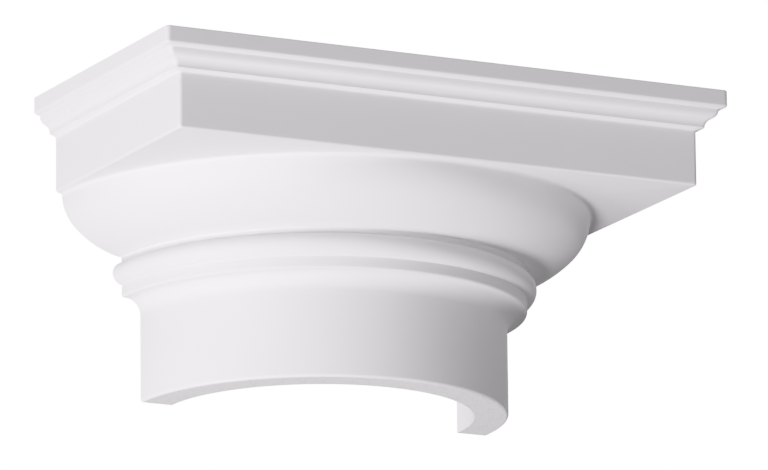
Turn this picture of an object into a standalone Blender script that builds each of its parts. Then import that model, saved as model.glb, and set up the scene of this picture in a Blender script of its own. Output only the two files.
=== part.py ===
"""Half column capital of a plain Tuscan order, cast in one piece.

Half of a square abacus, with a crown moulding on its three free sides, stands over a
half-round echinus, groove, astragal, fillet, cavetto and neck. A half-round channel for
the column's core runs from the underside to the top and is open towards the wall.

Metres, +Z up, front towards -Y. The origin is the bottom centre of the bounding box:
x = 0 is the column's axis, z = 0 the underside of the neck, and the wall plane lies at
half the depth behind the origin.
"""

import math

import bmesh
import bpy
from mathutils import Matrix, Vector

# Half column
SHAFT_RADIUS = 0.1000  # outside of the neck, flush with the shaft below
SHELL = 0.0177  # wall of the half-round shell
CORE_RADIUS = SHAFT_RADIUS - SHELL

# Heights above the underside
CAVETTO_FOOT = 0.0455
FILLET_FOOT = 0.0543
ASTRAGAL_FOOT = 0.0607
ASTRAGAL_HEAD = 0.0725
GROOVE_HEAD = 0.0754
ECHINUS_FOOT = 0.0755
ECHINUS_HIP = 0.0891
SOFFIT = 0.1061
BAND_HEAD = 0.1353
WAVE_FOOT = 0.1365
WAVE_MIDDLE = 0.1414
WAVE_HEAD = 0.14405
DRIP_HEAD = 0.1454
FASCIA_FOOT = 0.14655
HEIGHT = 0.1552

# Turned mouldings
FILLET_RADIUS = 0.1105  # the fillet under the astragal, and the groove above it
FILLET_ARRIS = 0.0012
ASTRAGAL_TURN = math.radians(162)
CAVETTO_TURN = math.radians(90)
CAVETTO_HEAD_RADIUS = SHAFT_RADIUS + (FILLET_FOOT - CAVETTO_FOOT)
GROOVE_TURN = math.radians(50)  # the hollow where the groove runs into the echinus
ECHINUS_FOOT_RADIUS = 0.1122
ECHINUS_FOOT_TURN = math.radians(32.6)
ECHINUS_HIP_RADIUS = 0.1374
ECHINUS_HEAD_RADIUS = 0.1441
ECHINUS_HEAD_TURN = math.radians(40.7)
SOFFIT_HOLLOW = 0.0019  # the hollow where the echinus meets the soffit
NECK_ARRIS = 0.0016  # the neck's lower edge

# Abacus, half of a square
BAND_HALF = 0.1475  # half-width of the plain band
CROWN_HALF = 0.1597  # half-width over the crown's fascia
BAND_ARRIS = 0.0014  # rounding of the band's lower edge
WAVE_FOOT_INSET = 0.00875  # the wave moulding, from the fascia's face inwards
WAVE_FOOT_TURN = math.radians(75)
WAVE_MIDDLE_INSET = 0.00535
WAVE_HEAD_INSET = 0.00345
WAVE_HEAD_TURN = math.radians(47.5)
DRIP_INSET = 0.0032  # the slope under the fascia starts here

WALL = CROWN_HALF / 2  # the wall plane; the abacus is as deep as its half-width

# Facets
ROUND_STEPS = 48  # round half a circle
CORE_STEPS = 48


def arc(start, end, turn, steps):
    """Points after start on the circular arc to end; a positive turn is to the left."""
    start, end = Vector(start), Vector(end)
    chord = end - start
    to_left = Vector((-chord.y, chord.x))
    centre = (start + end) / 2 + to_left / (2 * math.tan(turn / 2))
    points = []
    for step in range(1, steps + 1):
        swing = Matrix.Rotation(turn * step / steps, 2)
        points.append(tuple(centre + swing @ (start - centre)))
    return points


def round_profile():
    """Radius and height down the turned mouldings, from the soffit to the underside."""
    echinus_head = (ECHINUS_HEAD_RADIUS, SOFFIT - SOFFIT_HOLLOW)
    echinus_hip = (ECHINUS_HIP_RADIUS, ECHINUS_HIP)
    echinus_foot = (ECHINUS_FOOT_RADIUS, ECHINUS_FOOT)
    points = [(ECHINUS_HEAD_RADIUS + SOFFIT_HOLLOW, SOFFIT)]
    points += arc(points[-1], echinus_head, math.radians(84), 4)
    points += arc(points[-1], echinus_hip, -ECHINUS_HEAD_TURN, 6)
    points += arc(points[-1], echinus_foot, -ECHINUS_FOOT_TURN, 7)
    points += arc(points[-1], (FILLET_RADIUS, GROOVE_HEAD), GROOVE_TURN, 2)
    points.append((FILLET_RADIUS, ASTRAGAL_HEAD))
    points += arc(points[-1], (FILLET_RADIUS, ASTRAGAL_FOOT), -ASTRAGAL_TURN, 10)
    points.append((FILLET_RADIUS, FILLET_FOOT + FILLET_ARRIS))
    points.append((FILLET_RADIUS - FILLET_ARRIS, FILLET_FOOT))
    points.append((CAVETTO_HEAD_RADIUS, FILLET_FOOT))
    points += arc(points[-1], (SHAFT_RADIUS, CAVETTO_FOOT), CAVETTO_TURN, 7)
    points.append((SHAFT_RADIUS, NECK_ARRIS))
    points.append((SHAFT_RADIUS - NECK_ARRIS, 0.0))
    return points


def abacus_profile():
    """Half-width and height down the abacus, from the top to the soffit."""
    wave_head = (CROWN_HALF - WAVE_HEAD_INSET, WAVE_HEAD)
    wave_middle = (CROWN_HALF - WAVE_MIDDLE_INSET, WAVE_MIDDLE)
    wave_foot = (CROWN_HALF - WAVE_FOOT_INSET, WAVE_FOOT)
    points = [(CROWN_HALF, HEIGHT), (CROWN_HALF, FASCIA_FOOT)]
    points.append((CROWN_HALF - DRIP_INSET, DRIP_HEAD))
    points.append(wave_head)
    points += arc(points[-1], wave_middle, -WAVE_HEAD_TURN, 4)
    points += arc(points[-1], wave_foot, WAVE_FOOT_TURN, 5)
    points.append((BAND_HALF, BAND_HEAD))
    points.append((BAND_HALF, SOFFIT + BAND_ARRIS))
    points += arc(points[-1], (BAND_HALF - BAND_ARRIS, SOFFIT), -math.radians(90), 4)
    return points


def half_ring(mesh, radius, height, steps):
    """Vertices round the front half of a circle, from the wall to the wall."""
    chain = []
    for step in range(steps + 1):
        angle = math.pi * (1 + step / steps)
        spot = (radius * math.cos(angle), WALL + radius * math.sin(angle), height)
        chain.append(mesh.verts.new(spot))
    return chain


def half_square(mesh, half_width, height):
    """Vertices round the front half of a square, from the wall to the wall."""
    front = WALL - half_width
    corners = [(-half_width, WALL), (-half_width, front), (half_width, front), (half_width, WALL)]
    return [mesh.verts.new((x, y, height)) for x, y in corners]


def join(mesh, upper, lower):
    """Quads between two chains of as many vertices."""
    for left in range(len(upper) - 1):
        mesh.faces.new((upper[left], upper[left + 1], lower[left + 1], lower[left]))


def skin(mesh, chains):
    """A surface that runs through the chains in turn."""
    for upper, lower in zip(chains, chains[1:]):
        join(mesh, upper, lower)


def plate(mesh, outer, inner):
    """A flat face between an outer chain and an inner one."""
    mesh.faces.new(outer + inner[::-1])


def capital_mesh():
    """The whole casting as one closed skin."""
    mesh = bmesh.new()
    abacus = [half_square(mesh, out, height) for out, height in abacus_profile()]
    turned = [half_ring(mesh, out, height, ROUND_STEPS) for out, height in round_profile()]
    core = [half_ring(mesh, CORE_RADIUS, height, CORE_STEPS) for height in (0.0, HEIGHT)]

    skin(mesh, abacus)
    plate(mesh, abacus[-1], turned[0])
    skin(mesh, turned)
    plate(mesh, turned[-1], core[0])
    skin(mesh, core)
    plate(mesh, abacus[0], core[1])

    chains = abacus + turned + core
    mesh.faces.new([chain[0] for chain in chains])
    mesh.faces.new([chain[-1] for chain in chains])

    bmesh.ops.recalc_face_normals(mesh, faces=mesh.faces)
    bmesh.ops.triangulate(mesh, faces=mesh.faces, ngon_method="EAR_CLIP")
    return mesh


def white_primer():
    """Matte white primer on the moulded foam."""
    material = bpy.data.materials.new("white_primer")
    material.use_nodes = True
    shader = material.node_tree.nodes["Principled BSDF"]
    shader.inputs["Base Color"].default_value = (0.83, 0.815, 0.83, 1.0)
    shader.inputs["Roughness"].default_value = 0.7
    shader.inputs["Metallic"].default_value = 0.0
    return material


def half_capital():
    """The capital as an object, smooth round its mouldings and sharp at its arrises."""
    source = capital_mesh()
    mesh = bpy.data.meshes.new("half_capital")
    source.to_mesh(mesh)
    source.free()
    mesh.materials.append(white_primer())
    mesh.shade_smooth()
    mesh.set_sharp_from_angle(angle=math.radians(30))
    piece = bpy.data.objects.new("half_capital", mesh)
    bpy.context.scene.collection.objects.link(piece)
    return piece


def main():
    for old in list(bpy.data.objects):
        bpy.data.objects.remove(old, do_unlink=True)
    half_capital()


main()
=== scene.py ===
"""A moulded half column capital in white primer, and the studio stage it is shown on."""

import math
from typing import NamedTuple

import bpy
from bpy.props import FloatProperty, FloatVectorProperty, IntProperty, PointerProperty
from mathutils import Matrix, Quaternion, Vector


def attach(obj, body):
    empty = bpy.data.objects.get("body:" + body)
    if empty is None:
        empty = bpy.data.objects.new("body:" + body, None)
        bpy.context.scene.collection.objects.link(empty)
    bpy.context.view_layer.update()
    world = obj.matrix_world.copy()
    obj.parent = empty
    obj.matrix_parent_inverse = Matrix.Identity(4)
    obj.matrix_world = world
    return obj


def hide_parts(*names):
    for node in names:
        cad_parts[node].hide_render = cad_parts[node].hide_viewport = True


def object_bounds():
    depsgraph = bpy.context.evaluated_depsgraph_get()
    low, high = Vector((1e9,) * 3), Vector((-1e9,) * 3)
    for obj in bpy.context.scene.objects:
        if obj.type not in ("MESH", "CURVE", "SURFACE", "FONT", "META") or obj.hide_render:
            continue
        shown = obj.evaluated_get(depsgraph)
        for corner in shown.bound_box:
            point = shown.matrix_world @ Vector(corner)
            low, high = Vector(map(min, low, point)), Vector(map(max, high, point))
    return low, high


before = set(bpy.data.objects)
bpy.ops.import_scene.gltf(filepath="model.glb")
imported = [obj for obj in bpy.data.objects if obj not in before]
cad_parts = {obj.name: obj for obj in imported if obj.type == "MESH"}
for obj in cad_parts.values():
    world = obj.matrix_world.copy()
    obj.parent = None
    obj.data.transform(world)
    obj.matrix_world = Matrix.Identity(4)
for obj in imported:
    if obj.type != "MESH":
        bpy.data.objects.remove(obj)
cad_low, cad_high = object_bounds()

bl_info = {
    "name": "Half Column Capital",
    "version": (1, 0, 0),
    "blender": (4, 5, 0),
    "location": "View3D > Sidebar > Capital",
    "description": "Makes a moulded half column capital and a studio stage for it",
    "category": "Add Mesh",
}

NODE = "half_capital"


def length(name, description, default):
    """A property for a length in metres."""
    return FloatProperty(name=name, description=description, default=default, min=0.0,
                         subtype="DISTANCE", unit="LENGTH", precision=5)


def angle(name, description, degrees):
    """A property for an angle, whose default is given in degrees."""
    return FloatProperty(name=name, description=description, default=math.radians(degrees),
                         subtype="ANGLE", unit="ROTATION")


def share(name, description, default):
    """A property for a part of a whole."""
    return FloatProperty(name=name, description=description, default=default, min=0.0, max=1.0,
                         subtype="FACTOR")


def colour(name, description, default):
    """A property for a colour."""
    return FloatVectorProperty(name=name, description=description, default=default, size=3,
                               min=0.0, max=1.0, subtype="COLOR")


def plain(name, description, default):
    """A property for a number without a unit."""
    return FloatProperty(name=name, description=description, default=default)


class CapitalSizes(bpy.types.PropertyGroup):
    """Heights above the underside, and how far each moulding reaches from the column's axis."""

    height: length("Height", "Underside of the neck to the top bed", cad_high.z)
    crown: length("Crown", "Half-width over the crown's fascia", cad_high.x)
    wall: length("Wall", "The wall plane's distance behind the origin", cad_high.y)
    shaft: length("Shaft", "Outside radius of the neck", 0.1000)
    core: length("Core", "Radius of the channel behind the neck", 0.0823)
    neck_arris: length("Neck arris", "Rounding of the neck's lower edge", 0.0016)

    cavetto_foot: length("Cavetto foot", "Height where the neck starts to flare", 0.0455)
    fillet_foot: length("Fillet foot", "Height of the fillet's underside", 0.0543)
    fillet: length("Fillet", "Radius of the fillet and of the groove", 0.1105)
    fillet_arris: length("Fillet arris", "Rounding of the fillet's lower edge", 0.0012)
    astragal_foot: length("Astragal foot", "Height where the bead starts", 0.0607)
    astragal_head: length("Astragal head", "Height where the bead ends", 0.0725)
    astragal_turn: angle("Astragal turn", "How far round the bead goes", 162)
    groove_head: length("Groove head", "Height where the groove starts to flare", 0.0754)

    echinus_foot: length("Echinus foot", "Height where the echinus leaves the groove", 0.0755)
    echinus_foot_reach: length("Echinus foot reach", "Radius at the echinus's foot", 0.1122)
    echinus_hip: length("Echinus hip", "Height where the echinus's two arcs meet", 0.0891)
    echinus_hip_reach: length("Echinus hip reach", "Radius where the two arcs meet", 0.1374)
    echinus_reach: length("Echinus reach", "Radius at the echinus's head", 0.1441)
    groove_turn: angle("Groove turn", "Turn of the hollow over the groove", 50)
    foot_turn: angle("Echinus foot turn", "Turn of the echinus's lower arc", 32.6)
    head_turn: angle("Echinus head turn", "Turn of the echinus's upper arc", 40.7)
    soffit_hollow: length("Soffit hollow", "Hollow between the echinus and the soffit", 0.0019)

    soffit: length("Soffit", "Height of the band's underside", 0.1061)
    band: length("Band", "Half-width of the plain band", 0.1475)
    band_arris: length("Band arris", "Rounding of the band's lower edge", 0.0014)
    band_head: length("Band head", "Height of the band's upper edge", 0.1353)
    step_arris: length("Step arris", "Rounding of the band's upper edge", 0.0012)
    wave_foot_inset: length("Wave foot inset", "Inset where the wave moulding ends", 0.00875)
    wave_foot: length("Wave foot", "Height where the wave moulding ends", 0.1365)
    wave_inset: length("Wave inset", "Inset where the wave moulding turns over", 0.00535)
    wave: length("Wave", "Height where the wave moulding turns over", 0.1414)
    wave_head_inset: length("Wave head inset", "Inset where the wave moulding starts", 0.00345)
    wave_head: length("Wave head", "Height where the wave moulding starts", 0.14405)
    wave_foot_turn: angle("Wave foot turn", "Turn of the wave's lower, hollow half", 75)
    wave_head_turn: angle("Wave head turn", "Turn of the wave's upper, full half", 47.5)
    drip_inset: length("Drip inset", "Inset where the fascia's underside ends", 0.0032)
    drip: length("Drip", "Height where the fascia's underside ends", 0.1454)
    fascia_foot: length("Fascia foot", "Height of the fascia's lower edge", 0.14655)
    fascia_foot_arris: length("Fascia foot arris", "Rounding of the fascia's lower edge", 0.0013)
    fascia_arris: length("Fascia arris", "Rounding of the fascia's upper edge", 0.0005)
    corner: share("Corner", "Rounding of the upright arrises, over the abacus's half-width", 0.0142)

    around: IntProperty(name="Around", description="Facets round the half turn", default=256,
                        min=16)
    crowding: share("Crowding", "How far the facets crowd to the abacus's corners", 0.9)


class PrimerFinish(bpy.types.PropertyGroup):
    """The white primer, and the bare foam where the casting was cut off. The foam colour is set
    darker to paint the shade under the ring and in the channel, which takes it too.
    """

    colour: colour("Colour", "Colour of the primer", (0.83, 0.815, 0.83))
    thin_colour: colour("Thin colour", "Colour where the primer is thinner", (0.815, 0.8, 0.815))
    # Bare foam's colour, set darker to paint the shade under the ring and in the channel
    foam_and_shade_colour: colour("Foam colour", "Colour of the bare foam", (0.78, 0.765, 0.775))
    pore_colour: colour("Pore colour", "Colour of the cut foam's pores", (0.73, 0.715, 0.722))
    roughness: share("Roughness", "Roughness of the primer", 0.7)
    roughness_spread: share("Roughness spread", "How much the primer's roughness varies", 0.12)
    foam_roughness: share("Foam roughness", "Roughness of the bare foam", 0.9)
    mirror: share("Mirror", "How much the primer mirrors, 0.5 being like glass", 0.2)
    drift: length("Drift", "Width of the patches where the primer lies thinner", 0.06)
    peel: length("Peel", "Width of the primer's fine grain", 0.0016)
    peel_depth: length("Peel depth", "Depth of the primer's fine grain", 0.00003)
    pore: length("Pore", "Spacing of the cut foam's pores", 0.0017)
    pore_depth: length("Pore depth", "Depth of the cut foam's pores", 0.00012)


class StudioSettings(bpy.types.PropertyGroup):
    """The camera, the floor and the light."""

    azimuth: angle("Azimuth", "The camera's bearing, from straight ahead", -26.72)
    elevation: angle("Elevation", "The camera's height above the capital's level", -13.64)
    roll: angle("Roll", "The camera's turn about its line of sight", -0.63)
    distance: length("Distance", "From the camera to the point it looks at", 4.70)
    lens: FloatProperty(name="Lens", description="Focal length in millimetres", default=428.9,
                        subtype="DISTANCE_CAMERA")
    light: plain("Light", "Strength of all the soft lights", 0.985)
    light_colour: colour("Light colour", "Colour of all the soft lights", (1.0, 0.97, 1.0))
    light_distance: length("Light distance", "From the capital to each soft light", 2.0)
    floor_depth: length("Floor depth", "From the capital's underside down to the floor", 1.7)
    floor_size: length("Floor size", "Side of the floor", 400.0)
    floor_light: plain("Floor light", "Strength of the light that falls on the floor alone", 3.2)
    backdrop: plain("Backdrop", "Brightness of what is seen behind the capital", 1.0)
    ambient: plain("Ambient", "Brightness of the light from all round", 0.02)
    shoulder: plain("Shoulder", "How softly bright tones run into white, 0 being not at all", 2.5)


MIX_FIRST, MIX_SECOND, MIX_COLOUR = 6, 7, 2  # a Mix node's colour sockets


class Wire:
    """A node's socket. Arithmetic on it adds Math nodes to its tree."""

    def __init__(self, tree, socket=None):
        self.tree = tree
        self.socket = socket

    def node(self, kind, settings=None, sockets=None, output=0):
        """Adds a node, sets it up, fills its sockets and returns one of its outputs."""
        made = self.tree.nodes.new(kind)
        for name, value in (settings or {}).items():
            setattr(made, name, value)
        for key, value in (sockets or {}).items():
            if isinstance(value, Wire):
                self.tree.links.new(value.socket, made.inputs[key])
            else:
                made.inputs[key].default_value = value
        return Wire(self.tree, made.outputs[output])

    def math(self, operation, *values):
        """A Math node on this wire and others."""
        values = dict(enumerate((self, *values)))
        return self.node("ShaderNodeMath", {"operation": operation}, values)

    def blended(self, factor, first, second):
        """A Mix node that goes from one colour to another."""
        sockets = {"Factor": factor, MIX_FIRST: first, MIX_SECOND: second}
        return self.node("ShaderNodeMix", {"data_type": "RGBA"}, sockets, MIX_COLOUR)

    def __add__(self, other):
        return self.math("ADD", other)

    __radd__ = __add__

    def __mul__(self, other):
        return self.math("MULTIPLY", other)

    __rmul__ = __mul__

    def __sub__(self, other):
        return self.math("SUBTRACT", other)

    def __rsub__(self, other):
        return (self * -1.0).math("ADD", other)

    def __truediv__(self, other):
        return self.math("DIVIDE", other)

    def __rtruediv__(self, other):
        return self.math("POWER", -1.0) * other

    def __gt__(self, other):
        return self.math("GREATER_THAN", other)


def stepped(value, low, high):
    """A value from 0 to 1 as another goes from low to high."""
    return ((value - low) / (high - low)).math("MAXIMUM", 0.0).math("MINIMUM", 1.0)


# The section

ARC_CHORD = 0.0008  # longest chord of a large arc
ARC_STEP = math.radians(12)  # largest turn between two chords
GUARD = 0.00025  # the strip that keeps a flat run flat beside a rounded arris
GUARDED_RUN = 0.0015  # runs longer than this get a strip at each end
CAVETTO_TURN = math.radians(90)
HOLLOW_TURN = math.radians(84)  # of the hollow where the echinus meets the soffit


def arc(start, end, turn):
    """Points after start on the circular arc to end; a positive turn is to the left."""
    start, end = Vector(start), Vector(end)
    chord = end - start
    to_left = Vector((-chord.y, chord.x))
    centre = (start + end) / 2 + to_left / (2 * math.tan(turn / 2))
    run = abs(turn) * (start - centre).length
    steps = max(math.ceil(run / ARC_CHORD), math.ceil(abs(turn) / ARC_STEP))
    return [centre + Matrix.Rotation(turn * step / steps, 2) @ (start - centre)
            for step in range(1, steps + 1)]


def eased(before, corner, after, radius):
    """A corner between two straight runs, rounded to a radius."""
    back = (before - corner).normalized()
    ahead = (after - corner).normalized()
    turn = math.pi - back.angle(ahead)
    reach = radius * math.tan(turn / 2)
    side = math.copysign(1.0, ahead.cross(back))
    start = corner + back * reach
    return [start, *arc(start, corner + ahead * reach, side * turn)]


class Outline:
    """A section drawn point by point, each with how square the plan is there."""

    def __init__(self, x, y):
        self.points = [(Vector((x, y)), 0.0, 0.0)]

    def line(self, x, y, square=0.0, radius=0.0):
        """A straight run to a corner, which is rounded if it has a radius."""
        self.points.append((Vector((x, y)), square, radius))

    def curve(self, x, y, turn, square=0.0):
        """A circular arc to a point."""
        self.points += [(spot, square, 0.0) for spot in arc(self.points[-1][0], (x, y), turn)]

    def rounded(self):
        """The closed outline with its corners rounded, as points and squareness."""
        found = []
        for index, (spot, square, radius) in enumerate(self.points):
            before = self.points[index - 1][0]
            after = self.points[(index + 1) % len(self.points)][0]
            spots = eased(before, spot, after, radius) if radius else [spot]
            found += [(each, square) for each in spots]
        return found

    def guarded(self):
        """The rounded outline, with a narrow strip at both ends of each straight run."""
        found = []
        spots = self.rounded()
        for (start, square), (end, next_square) in zip(spots, spots[1:] + spots[:1]):
            found.append((start, square))
            run = end - start
            if run.length > GUARDED_RUN:
                along = run.normalized() * GUARD
                found.append((start + along, square))
                found.append((end - along, next_square))
        return found


def turned_mouldings(outline, sizes):
    """The round part, from the neck's underside up to the soffit."""
    outline.line(sizes.shaft, 0.0, radius=sizes.neck_arris)
    outline.line(sizes.shaft, sizes.cavetto_foot)
    cavetto = sizes.fillet_foot - sizes.cavetto_foot
    outline.curve(sizes.shaft + cavetto, sizes.fillet_foot, -CAVETTO_TURN)
    outline.line(sizes.fillet, sizes.fillet_foot, radius=sizes.fillet_arris)
    outline.line(sizes.fillet, sizes.astragal_foot)
    outline.curve(sizes.fillet, sizes.astragal_head, sizes.astragal_turn)
    outline.line(sizes.fillet, sizes.groove_head)
    outline.curve(sizes.echinus_foot_reach, sizes.echinus_foot, -sizes.groove_turn)
    outline.curve(sizes.echinus_hip_reach, sizes.echinus_hip, sizes.foot_turn)
    outline.curve(sizes.echinus_reach, sizes.soffit - sizes.soffit_hollow, sizes.head_turn)
    outline.curve(sizes.echinus_reach + sizes.soffit_hollow, sizes.soffit, -HOLLOW_TURN)


def abacus_mouldings(outline, sizes):
    """The square part, from the soffit up to the top bed."""
    crown = sizes.crown
    outline.line(sizes.band, sizes.soffit, 1.0, sizes.band_arris)
    outline.line(sizes.band, sizes.band_head, 1.0, sizes.step_arris)
    outline.line(crown - sizes.wave_foot_inset, sizes.wave_foot, 1.0)
    outline.curve(crown - sizes.wave_inset, sizes.wave, -sizes.wave_foot_turn, 1.0)
    outline.curve(crown - sizes.wave_head_inset, sizes.wave_head, sizes.wave_head_turn, 1.0)
    outline.line(crown - sizes.drip_inset, sizes.drip, 1.0)
    outline.line(crown, sizes.fascia_foot, 1.0, sizes.fascia_foot_arris)
    outline.line(crown, sizes.height, 1.0, sizes.fascia_arris)


def section_mesh(sizes):
    """The closed section as one face, reach along X and height along Y."""
    outline = Outline(sizes.core, 0.0)
    turned_mouldings(outline, sizes)
    abacus_mouldings(outline, sizes)
    outline.line(sizes.core, sizes.height)
    points = outline.guarded()
    mesh = bpy.data.meshes.new("section")
    mesh.from_pydata([(*spot, 0.0) for spot, _ in points], [], [range(len(points))])
    squareness = mesh.attributes.new("squareness", "FLOAT", "POINT")
    squareness.data.foreach_set("value", [square for _, square in points])
    return mesh


# The half turn

WELD = 1e-6  # how near two vertices lie that are made one
SHARP = math.radians(30)  # faces that meet at more than this stay sharp


def square_reach(across, along, corner):
    """How much further than a circle a square with rounded corners reaches, in a direction."""
    longest = across.math("MAXIMUM", along)
    side = 1.0 / longest
    inset = 1.0 - corner
    ahead = inset * (across + along)
    under_root = ahead * ahead - inset * inset * 2.0 + corner * corner
    round_the_corner = ahead + under_root.math("SQRT")
    at_corner = across.math("MINIMUM", along) * side > inset
    return side + at_corner * (round_the_corner - side)


def half_turn_tree():
    """Node tree that carries a section round half a turn, on a plan from round to square."""
    tree = bpy.data.node_groups.new("half_turn", "GeometryNodeTree")
    for name, kind in (("Section", "NodeSocketGeometry"), ("Wall", "NodeSocketFloat"),
                       ("Around", "NodeSocketInt"), ("Crowding", "NodeSocketFloat"),
                       ("Corner", "NodeSocketFloat"), ("Material", "NodeSocketMaterial")):
        tree.interface.new_socket(name, in_out="INPUT", socket_type=kind)
    tree.interface.new_socket("Piece", in_out="OUTPUT", socket_type="NodeSocketGeometry")
    bench = Wire(tree)
    given = tree.nodes.new("NodeGroupInput")
    section, wall, around, crowding, corner, material = (
        Wire(tree, socket) for socket in given.outputs[:6])

    # A sheet with a row for each point of the section and a column for each step of the turn
    count = bench.node("GeometryNodeAttributeDomainSize", {}, {"Geometry": section},
                       "Point Count")
    columns = around + 1.0
    sheet = bench.node("GeometryNodeMeshGrid", {},
                       {"Vertices X": count + 1.0, "Vertices Y": columns}, "Mesh")
    index = bench.node("GeometryNodeInputIndex")
    row = (index / columns).math("FLOOR")
    turn = (index - row * columns) / around
    picked = row.math("MODULO", count)

    def sampled(kind, value):
        return bench.node("GeometryNodeSampleIndex", {"data_type": kind},
                          {"Geometry": section, "Value": value, "Index": picked})

    spot = sampled("FLOAT_VECTOR", bench.node("GeometryNodeInputPosition"))
    square = sampled("FLOAT", bench.node("GeometryNodeInputNamedAttribute",
                                         {"data_type": "FLOAT"}, {"Name": "squareness"}))
    reach = bench.node("ShaderNodeSeparateXYZ", {}, {"Vector": spot}, "X")
    height = bench.node("ShaderNodeSeparateXYZ", {}, {"Vector": spot}, "Y")

    bearing = (turn + 1.0) * math.pi + (turn * (4 * math.pi)).math("SINE") * crowding / 4.0
    across = bearing.math("COSINE")
    along = bearing.math("SINE")
    out = square_reach(across.math("ABSOLUTE"), along.math("ABSOLUTE"), corner)
    reach = reach * (1.0 + square * (out - 1.0))
    place = bench.node("ShaderNodeCombineXYZ", {},
                       {"X": reach * across, "Y": wall + reach * along, "Z": height})
    skin = bench.node("GeometryNodeSetPosition", {}, {"Geometry": sheet, "Position": place})

    # The section itself closes both ends, in the wall plane
    own = bench.node("GeometryNodeInputPosition")
    own_reach = bench.node("ShaderNodeSeparateXYZ", {}, {"Vector": own}, "X")
    own_height = bench.node("ShaderNodeSeparateXYZ", {}, {"Vector": own}, "Y")

    def end(side):
        flat = bench.node("ShaderNodeCombineXYZ", {},
                          {"X": own_reach * side, "Y": wall, "Z": own_height})
        return bench.node("GeometryNodeSetPosition", {}, {"Geometry": section, "Position": flat})

    right = bench.node("GeometryNodeFlipFaces", {}, {"Mesh": end(1.0)})
    joined = tree.nodes.new("GeometryNodeJoinGeometry")
    for part in (skin, end(-1.0), right):
        tree.links.new(part.socket, joined.inputs["Geometry"])
    welded = bench.node("GeometryNodeMergeByDistance", {},
                        {"Geometry": Wire(tree, joined.outputs[0]), "Distance": WELD})
    real = bench.node("GeometryNodeRealizeInstances", {}, {"Geometry": welded})
    painted = bench.node("GeometryNodeSetMaterial", {}, {"Geometry": real, "Material": material})
    result = tree.nodes.new("NodeGroupOutput")
    tree.links.new(painted.socket, result.inputs["Piece"])
    return tree


def swept(section, tree, inputs):
    """The mesh that a tree makes of a section, with the tree's inputs given by name."""
    blank = bpy.data.objects.new("section", section)
    bpy.context.scene.collection.objects.link(blank)
    sweep = blank.modifiers.new("Half turn", "NODES")
    sweep.node_group = tree
    sockets = {item.name: item.identifier for item in tree.interface.items_tree}
    for name, value in inputs.items():
        sweep[sockets[name]] = value
    evaluated = blank.evaluated_get(bpy.context.evaluated_depsgraph_get())
    mesh = bpy.data.meshes.new_from_object(evaluated)
    bpy.data.objects.remove(blank)
    while mesh.materials[0] is None:
        mesh.materials.pop(index=0)
    return mesh


# The finish

BARE_AND_SHADE_DEPTH = 0.0001  # how near the cut planes and the channel a face has to lie to take the foam colour: bare foam at the planes, painted shade in the channel
THIN_FROM, THIN_TO = 0.35, 0.75  # the noise over which the primer goes from full to thin
PORE_PATCH = 3  # pores gather in patches, this many times as wide as their spacing
PORE_FROM, PORE_TO = 0.1, 0.3  # the noise less the way to a pore's middle, edge to full depth


def white_primer(finish, sizes):
    """Matte primer, and bare foam where the casting was cut off, whose darker colour also paints
    the shade in the channel.
    """
    material = bpy.data.materials.new("white_primer")
    material.use_nodes = True
    tree = material.node_tree
    shader = tree.nodes["Principled BSDF"]
    bench = Wire(tree)
    spot = bench.node("ShaderNodeTexCoord", output="Object")

    def noise(width, detail):
        return bench.node("ShaderNodeTexNoise", {},
                          {"Vector": spot, "Scale": 1.0 / width, "Detail": detail})

    across, depth, height = (bench.node("ShaderNodeSeparateXYZ", {}, {"Vector": spot}, axis)
                             for axis in "XYZ")
    cut = (BARE_AND_SHADE_DEPTH - height > 0.0).math("MAXIMUM", depth > sizes.wall - BARE_AND_SHADE_DEPTH)
    ahead = depth - sizes.wall
    core = (sizes.core + BARE_AND_SHADE_DEPTH) ** 2
    # Bare foam at the cut planes; the channel takes the foam colour as painted shade in its recess
    bare_and_shaded = cut.math("MAXIMUM", core - (across * across + ahead * ahead) > 0.0)
    peel = noise(finish.peel, 2.0)
    thin = stepped(noise(finish.drift, 3.0), THIN_FROM, THIN_TO)
    to_pore = bench.node("ShaderNodeTexVoronoi", {}, {"Vector": spot, "Scale": 1.0 / finish.pore},
                         "Distance")
    patches = noise(finish.pore * PORE_PATCH, 1.0)
    pores = cut * stepped(patches - to_pore, PORE_FROM, PORE_TO)

    primer = bench.blended(thin, (*finish.colour, 1.0), (*finish.thin_colour, 1.0))
    # The darker foam colour, with pores where cut, is painted shade in the channel and under the
    # ring
    foam_and_shade = bench.blended(pores, (*finish.foam_and_shade_colour, 1.0), (*finish.pore_colour, 1.0))
    rough = finish.roughness + finish.roughness_spread * (thin + peel - 1.0)
    relief = peel * finish.peel_depth - pores * finish.pore_depth
    bump = bench.node("ShaderNodeBump", {}, {"Height": relief, "Distance": 1.0})
    for name, value in (("Base Color", bench.blended(bare_and_shaded, primer, foam_and_shade)),
                        ("Roughness", rough + bare_and_shaded * (finish.foam_roughness - rough)),
                        ("Normal", bump)):
        tree.links.new(value.socket, shader.inputs[name])
    shader.inputs["Specular IOR Level"].default_value = finish.mirror
    return material


# The stage

CENTRE = Vector((0.0, 0.0, 0.08))  # what the lights turn to
AIM = Vector((0.00533, 0.00932, 0.08305))  # what the camera looks at


class Softbox(NamedTuple):
    """A round soft light: where it stands round the capital, how large and how strong it is."""

    name: str
    azimuth: float
    elevation: float
    size: float
    power: float


SOFTBOXES = (
    Softbox("key", -60, -40, 0.7, 14.0),
    Softbox("side_key", -80, -20, 0.7, 9.8),
    Softbox("low_key", -80, -50, 0.7, 4.3),
    Softbox("fill", 10, -25, 2.0, 5.7),
    Softbox("right", 65, 15, 2.0, 1.1),
    Softbox("left", -90, 30, 2.0, 4.6),
    Softbox("high_left", -90, 60, 0.7, 3.4),
    Softbox("back", 152, 25, 2.0, 10.0),
    Softbox("top", 180, 70, 2.0, 9.0),
)


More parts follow.
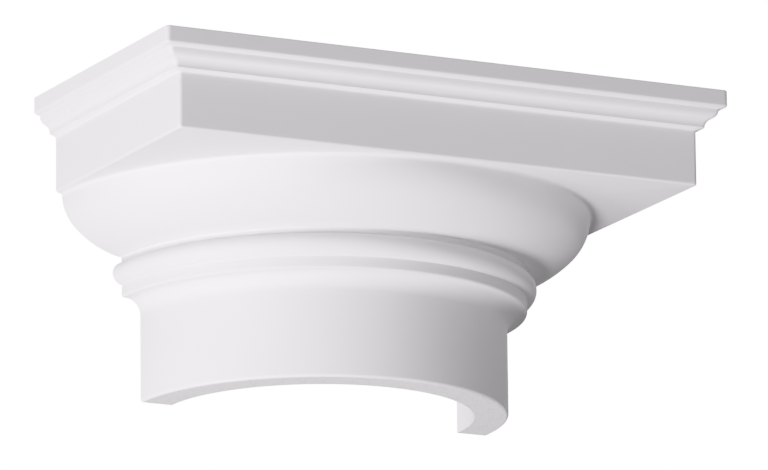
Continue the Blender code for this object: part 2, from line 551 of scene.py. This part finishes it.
def away(azimuth, elevation):
    """The direction away from the capital, azimuth 0 being straight ahead of it."""
    level = math.cos(elevation)
    return Vector((math.sin(azimuth) * level, -math.cos(azimuth) * level, math.sin(elevation)))


def studio_lights(studio):
    """The soft lights, all turned to the capital and none of them seen."""
    for box in SOFTBOXES:
        light = bpy.data.lights.new(box.name, "AREA")
        light.shape = "DISK"
        light.size = box.size
        light.energy = box.power * studio.light
        light.color = studio.light_colour
        direction = away(math.radians(box.azimuth), math.radians(box.elevation))
        lamp = bpy.data.objects.new(box.name, light)
        lamp.rotation_mode = "QUATERNION"
        lamp.location = CENTRE + direction * studio.light_distance
        lamp.rotation_quaternion = direction.to_track_quat("Z", "Y")
        lamp.visible_camera = False
        bpy.context.scene.collection.objects.link(lamp)


FLOOR_TONES = (0.83, 0.87)  # the floor's paint goes between these
FLOOR_PATCHES = 0.8  # noise scale, in patches to the metre
FLOOR_ROUGHNESS = 0.9


def floor_paint():
    """Pale matte paint, a little uneven over a metre or so."""
    material = bpy.data.materials.new("floor")
    material.use_nodes = True
    shader = material.node_tree.nodes["Principled BSDF"]
    bench = Wire(material.node_tree)
    spot = bench.node("ShaderNodeTexCoord", output="Object")
    patches = bench.node("ShaderNodeTexNoise", {},
                         {"Vector": spot, "Scale": FLOOR_PATCHES, "Detail": 3.0})
    dark, pale = ((tone, tone, tone, 1.0) for tone in FLOOR_TONES)
    paint = bench.blended(patches, dark, pale)
    material.node_tree.links.new(paint.socket, shader.inputs["Base Color"])
    shader.inputs["Roughness"].default_value = FLOOR_ROUGHNESS
    return material


def studio_floor(studio):
    """A plain pale floor well below the capital, with a light that falls on it alone."""
    half = studio.floor_size / 2
    level = -studio.floor_depth
    mesh = bpy.data.meshes.new("floor")
    square = ((-half, -half), (half, -half), (half, half), (-half, half))
    corners = [(x, y, level) for x, y in square]
    mesh.from_pydata(corners, [], [(0, 1, 2, 3)])
    mesh.materials.append(floor_paint())
    floor = bpy.data.objects.new("floor", mesh)
    floor.visible_diffuse = False
    floor.visible_glossy = False
    floor.visible_shadow = False
    bpy.context.scene.collection.objects.link(floor)

    sun = bpy.data.lights.new("floor_light", "SUN")
    sun.energy = studio.floor_light
    lamp = bpy.data.objects.new("floor_light", sun)
    lamp.light_linking.receiver_collection = bpy.data.collections.new("floor_only")
    lamp.light_linking.receiver_collection.objects.link(floor)
    bpy.context.scene.collection.objects.link(lamp)


def studio_world(studio):
    """A white backdrop to the camera, and an even light of its own strength on the capital."""
    world = bpy.data.worlds.new("studio")
    world.use_nodes = True
    tree = world.node_tree
    tree.nodes.clear()
    bench = Wire(tree)
    seen = bench.node("ShaderNodeLightPath", {}, {}, "Is Camera Ray")
    strength = studio.ambient + seen * (studio.backdrop - studio.ambient)
    glow = bench.node("ShaderNodeBackground", {},
                      {"Color": (1.0, 1.0, 1.0, 1.0), "Strength": strength})
    result = tree.nodes.new("ShaderNodeOutputWorld")
    tree.links.new(glow.socket, result.inputs["Surface"])
    bpy.context.scene.world = world


def studio_camera(studio):
    """The camera, which looks up at the capital from the left with a long lens."""
    direction = away(studio.azimuth, studio.elevation)
    data = bpy.data.cameras.new("camera")
    data.lens = studio.lens
    data.clip_end = 500.0
    camera = bpy.data.objects.new("camera", data)
    camera.rotation_mode = "QUATERNION"
    camera.location = AIM + direction * studio.distance
    turned = direction.to_track_quat("Z", "Y")
    camera.rotation_quaternion = turned @ Quaternion((0, 0, 1), studio.roll)
    bpy.context.scene.collection.objects.link(camera)
    bpy.context.scene.camera = camera


TONE_STEPS = 8  # of the tone curve
COMBINED = 3  # the curve for all three colours at once


def studio_tones(studio):
    """A tone curve like a film's, which keeps black and white and softens the bright tones."""
    view = bpy.context.scene.view_settings
    view.view_transform = "Standard"
    view.use_curve_mapping = True
    curve = view.curve_mapping.curves[COMBINED]
    for step in range(1, TONE_STEPS):
        light = (step / TONE_STEPS) ** 2  # closer together in the dark tones
        curve.points.new(light, (1 + studio.shoulder) * light / (1 + studio.shoulder * light))
    view.curve_mapping.update()


class CAPITAL_OT_half_capital(bpy.types.Operator):
    """Make the capital: a section carried half round, from a round neck to a square abacus"""

    bl_idname = "capital.half_capital"
    bl_label = "Half Capital"
    bl_options = {"REGISTER", "UNDO"}

    def execute(self, context):
        sizes = context.scene.capital_sizes
        finish = context.scene.capital_finish
        tree = half_turn_tree()
        inputs = {"Wall": sizes.wall, "Around": sizes.around, "Crowding": sizes.crowding,
                  "Corner": sizes.corner, "Material": white_primer(finish, sizes)}
        mesh = swept(section_mesh(sizes), tree, inputs)
        mesh.name = "half_capital_skin"
        mesh.shade_smooth()
        mesh.set_sharp_from_angle(angle=SHARP)
        piece = bpy.data.objects.new("half_capital_skin", mesh)
        context.scene.collection.objects.link(piece)
        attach(piece, "root")
        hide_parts(NODE)
        return {"FINISHED"}


class CAPITAL_OT_stage(bpy.types.Operator):
    """Make the stage: the floor, the soft light and the camera"""

    bl_idname = "capital.stage"
    bl_label = "Studio Stage"
    bl_options = {"REGISTER", "UNDO"}

    def execute(self, context):
        studio = context.scene.capital_studio
        studio_floor(studio)
        studio_world(studio)
        studio_camera(studio)
        studio_lights(studio)
        studio_tones(studio)
        return {"FINISHED"}


class CAPITAL_PT_panel(bpy.types.Panel):
    """Lists what the capital is made with"""

    bl_idname = "CAPITAL_PT_panel"
    bl_label = "Half Column Capital"
    bl_space_type = "VIEW_3D"
    bl_region_type = "UI"
    bl_category = "Capital"

    def draw(self, context):
        for operator in OPERATORS:
            self.layout.operator(operator.bl_idname)


OPERATORS = (CAPITAL_OT_half_capital, CAPITAL_OT_stage)
CLASSES = (CapitalSizes, PrimerFinish, StudioSettings, *OPERATORS, CAPITAL_PT_panel)


def register():
    """Adds the classes, and their settings to the scene."""
    for each in CLASSES:
        bpy.utils.register_class(each)
    bpy.types.Scene.capital_sizes = PointerProperty(type=CapitalSizes)
    bpy.types.Scene.capital_finish = PointerProperty(type=PrimerFinish)
    bpy.types.Scene.capital_studio = PointerProperty(type=StudioSettings)


def unregister():
    """Takes away what register added."""
    del bpy.types.Scene.capital_studio
    del bpy.types.Scene.capital_finish
    del bpy.types.Scene.capital_sizes
    for each in reversed(CLASSES):
        bpy.utils.unregister_class(each)


def main():
    """Makes everything."""
    register()
    bpy.ops.capital.half_capital()
    bpy.ops.capital.stage()


if __name__ == "__main__":
    main()
